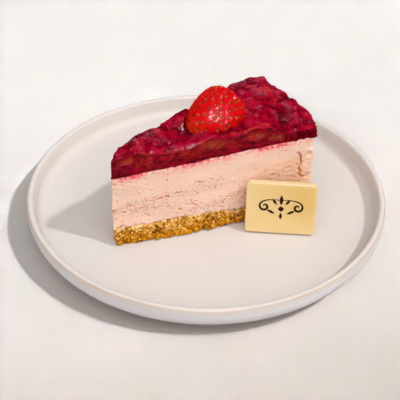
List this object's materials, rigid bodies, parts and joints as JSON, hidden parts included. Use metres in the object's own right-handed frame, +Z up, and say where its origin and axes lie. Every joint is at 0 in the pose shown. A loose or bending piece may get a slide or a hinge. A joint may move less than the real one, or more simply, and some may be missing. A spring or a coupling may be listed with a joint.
{
  "type": "strawberry cheesecake slice on a plate",
  "caption": "Wedge of layered cheesecake with a crumb base, pink filling, set strawberry compote, a halved strawberry and a chocolate plaque, on a round rimmed plate.",
  "frame": {"origin": "centre of the plate's underside, on the table", "axes": "+Z up; +X to the right and +Y away as the slice is served, with its tip towards -X and its front cut facing -Y"},
  "size_m": [0.21, 0.21, 0.0859],
  "materials": {
    "stoneware": "satin glazed stoneware",
    "biscuit_crumb": "rough, coarse crumb",
    "cheesecake_filling": "soft matte cream",
    "compote": "wet, glossy jelly",
    "strawberry": "glossy fruit skin",
    "white_chocolate": "satin chocolate"
  },
  "bodies": {
    "root": {"plate": "stoneware", "crumb_base": "biscuit_crumb", "filling": "cheesecake_filling", "compote": "compote", "strawberry": "strawberry", "chocolate_plaque": "white_chocolate"}
  },
  "joints": []
}
